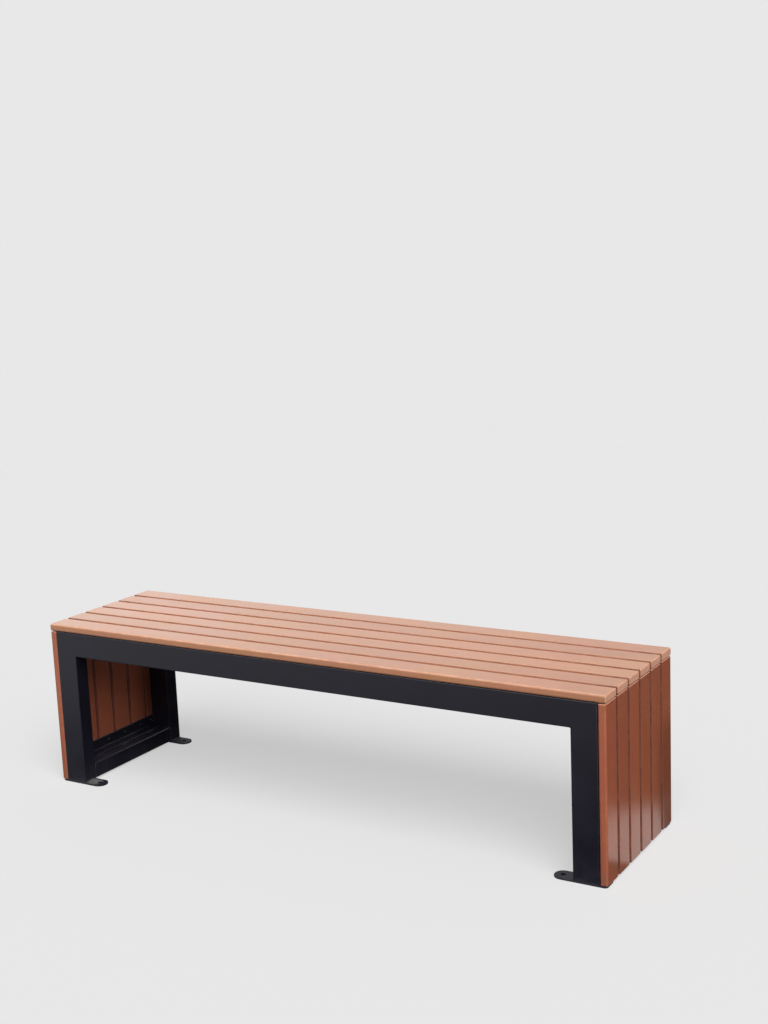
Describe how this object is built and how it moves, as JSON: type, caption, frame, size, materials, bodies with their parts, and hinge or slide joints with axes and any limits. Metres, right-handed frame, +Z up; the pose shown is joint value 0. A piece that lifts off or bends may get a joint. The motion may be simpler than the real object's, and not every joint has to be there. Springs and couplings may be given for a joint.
{
  "type": "park bench",
  "caption": "Backless street bench: long slatted seat that turns down into slatted ends, carried on rectangular steel tube portal frames with bolt-down foot plates.",
  "frame": {"origin": "on the ground, under the middle of the seat", "axes": "+X along the seat to the right, -Y the front face, +Z up"},
  "size_m": [1.5, 0.385, 0.416],
  "materials": {
    "board_paint": "semi-gloss red-brown paint over smooth boards",
    "frame_coating": "satin charcoal powder coat",
    "screw_steel": "bright zinc"
  },
  "bodies": {
    "root": {"seat_slat_1": "board_paint", "seat_slat_2": "board_paint", "seat_slat_3": "board_paint", "seat_slat_4": "board_paint", "seat_slat_5": "board_paint", "seat_slat_6": "board_paint", "left_end_slat_1": "board_paint", "left_end_slat_2": "board_paint", "left_end_slat_3": "board_paint", "left_end_slat_4": "board_paint", "left_end_slat_5": "board_paint", "left_end_slat_6": "board_paint", "right_end_slat_1": "board_paint", "right_end_slat_2": "board_paint", "right_end_slat_3": "board_paint", "right_end_slat_4": "board_paint", "right_end_slat_5": "board_paint", "right_end_slat_6": "board_paint", "front_rail": "frame_coating", "front_left_leg": "frame_coating", "front_right_leg": "frame_coating", "rear_rail": "frame_coating", "rear_left_leg": "frame_coating", "rear_right_leg": "frame_coating", "left_floor_tube": "frame_coating", "right_floor_tube": "frame_coating", "left_corner_angle": "frame_coating", "right_corner_angle": "frame_coating", "left_floor_angle": "frame_coating", "right_floor_angle": "frame_coating", "seat_bearer_1": "frame_coating", "seat_bearer_2": "frame_coating", "seat_bearer_3": "frame_coating", "front_left_foot_plate": "frame_coating", "front_right_foot_plate": "frame_coating", "rear_left_foot_plate": "frame_coating", "rear_right_foot_plate": "frame_coating", "seat_screw_1_1": "screw_steel", "seat_screw_1_2": "screw_steel", "seat_screw_1_3": "screw_steel", "seat_screw_1_4": "screw_steel", "seat_screw_1_5": "screw_steel", "seat_screw_1_6": "screw_steel", "seat_screw_2_1": "screw_steel", "seat_screw_2_2": "screw_steel", "seat_screw_2_3": "screw_steel", "seat_screw_2_4": "screw_steel", "seat_screw_2_5": "screw_steel", "seat_screw_2_6": "screw_steel", "seat_screw_3_1": "screw_steel", "seat_screw_3_2": "screw_steel", "seat_screw_3_3": "screw_steel", "seat_screw_3_4": "screw_steel", "seat_screw_3_5": "screw_steel", "seat_screw_3_6": "screw_steel"}
  },
  "joints": []
}
